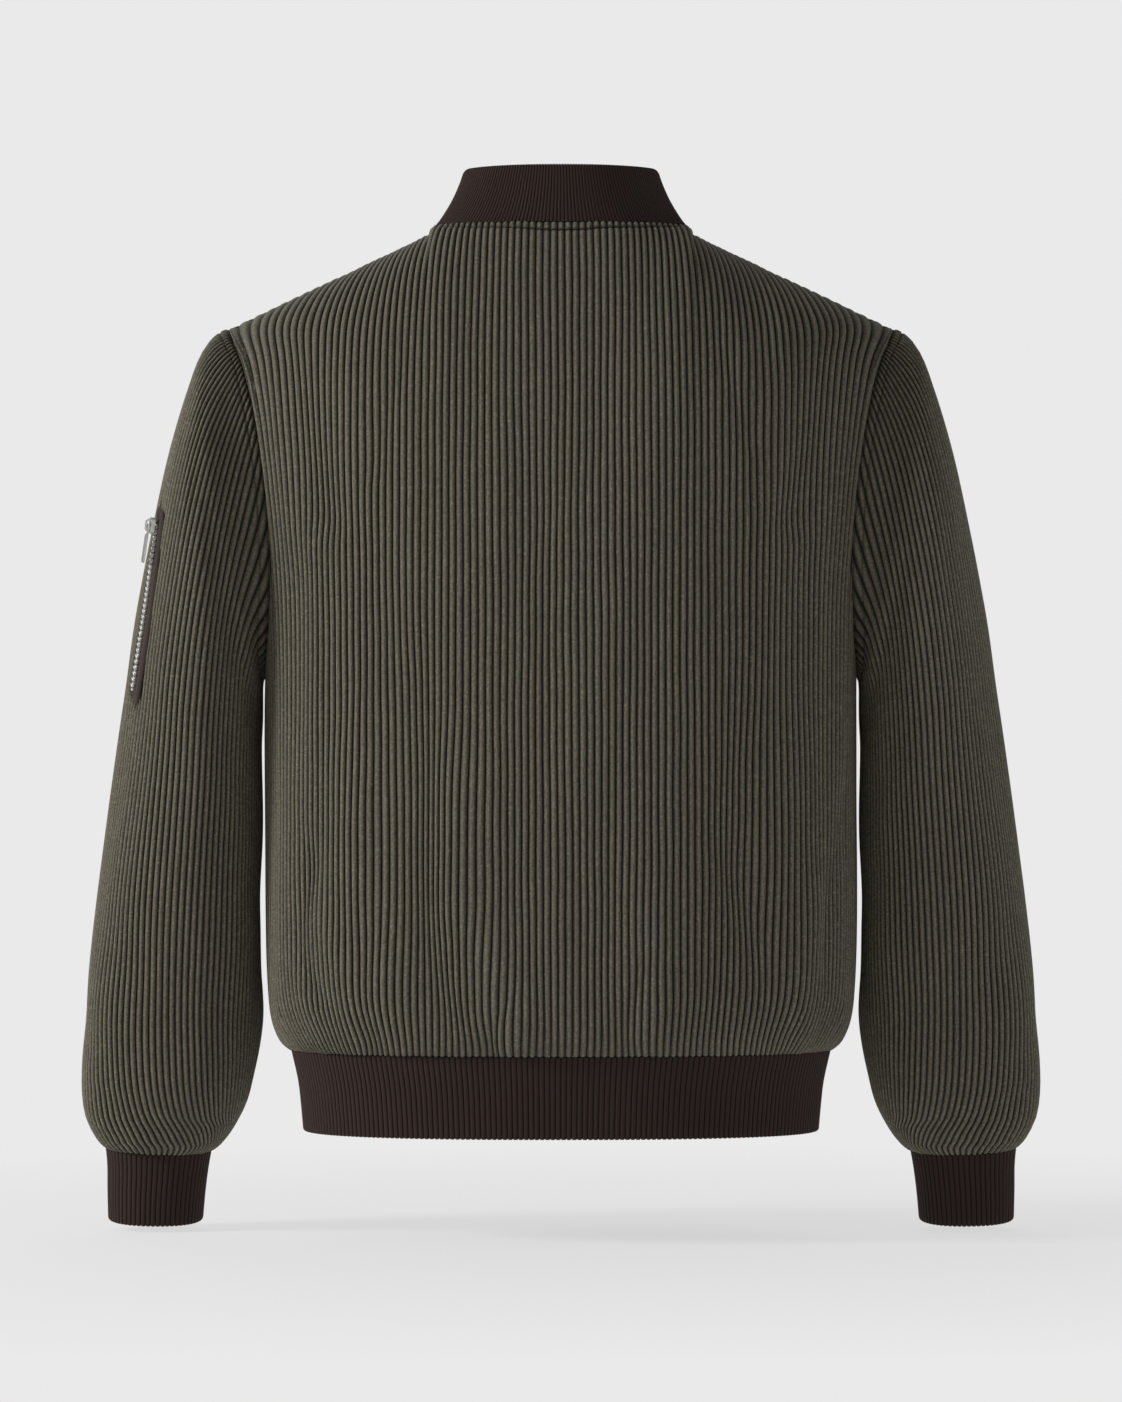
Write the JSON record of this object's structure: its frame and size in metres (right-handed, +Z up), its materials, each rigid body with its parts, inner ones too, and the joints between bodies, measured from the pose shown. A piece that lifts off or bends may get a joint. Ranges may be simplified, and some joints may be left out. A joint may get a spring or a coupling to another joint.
{
  "type": "corduroy bomber jacket, filled out as worn",
  "caption": "Zip-front corduroy jacket with rib-knit collar, hem and cuffs and a zipped sleeve pocket, hollow and filled out as if worn, arms hanging at the sides.",
  "frame": {"origin": "middle of the neck opening, level with the back neck seam, where a wearer carries the jacket", "axes": "+Z up; the wearer faces +Y; +X is the wearer's right side, so the back faces -Y"},
  "size_m": [0.7106, 0.3043, 0.7797],
  "materials": {
    "corduroy": "matt jumbo corduroy, olive brown, speckled pile",
    "rib_knit": "matt rib knit, dark brown",
    "pocket_cloth": "matt dark brown cloth",
    "zip_tape": "woven zip tape",
    "zip_metal": "nickel-plated zip parts"
  },
  "bodies": {
    "garment": {"back": "corduroy", "front_left": "corduroy", "front_right": "corduroy", "sleeve_left": "corduroy", "sleeve_right": "corduroy", "collar": "rib_knit", "hem_rib": "rib_knit", "cuff_left": "rib_knit", "cuff_right": "rib_knit", "front_zip_tape_left": "zip_tape", "front_zip_tape_right": "zip_tape", "front_zip_chain": "zip_metal", "front_zip_box": "zip_metal", "front_slider": "zip_metal", "pocket_welt": "pocket_cloth", "pocket_chain": "zip_metal", "pocket_slider": "zip_metal"},
    "front_pull_tab": {"front_pull": "zip_metal"},
    "pocket_pull_tab": {"pocket_pull": "zip_metal"}
  },
  "joints": [
    {"name": "front_pull_swing", "type": "hinge", "parent": "garment", "child": "front_pull_tab", "pos_m": [0, 0.05549, -0.04399], "axis": [1, 0, 0], "range_deg": [0, 110]},
    {"name": "pocket_pull_swing", "type": "hinge", "parent": "garment", "child": "pocket_pull_tab", "pos_m": [-0.30205, -0.04326, -0.22012], "axis": [-0.2673, 0.9633, 0.0252], "range_deg": [0, 140]}
  ]
}
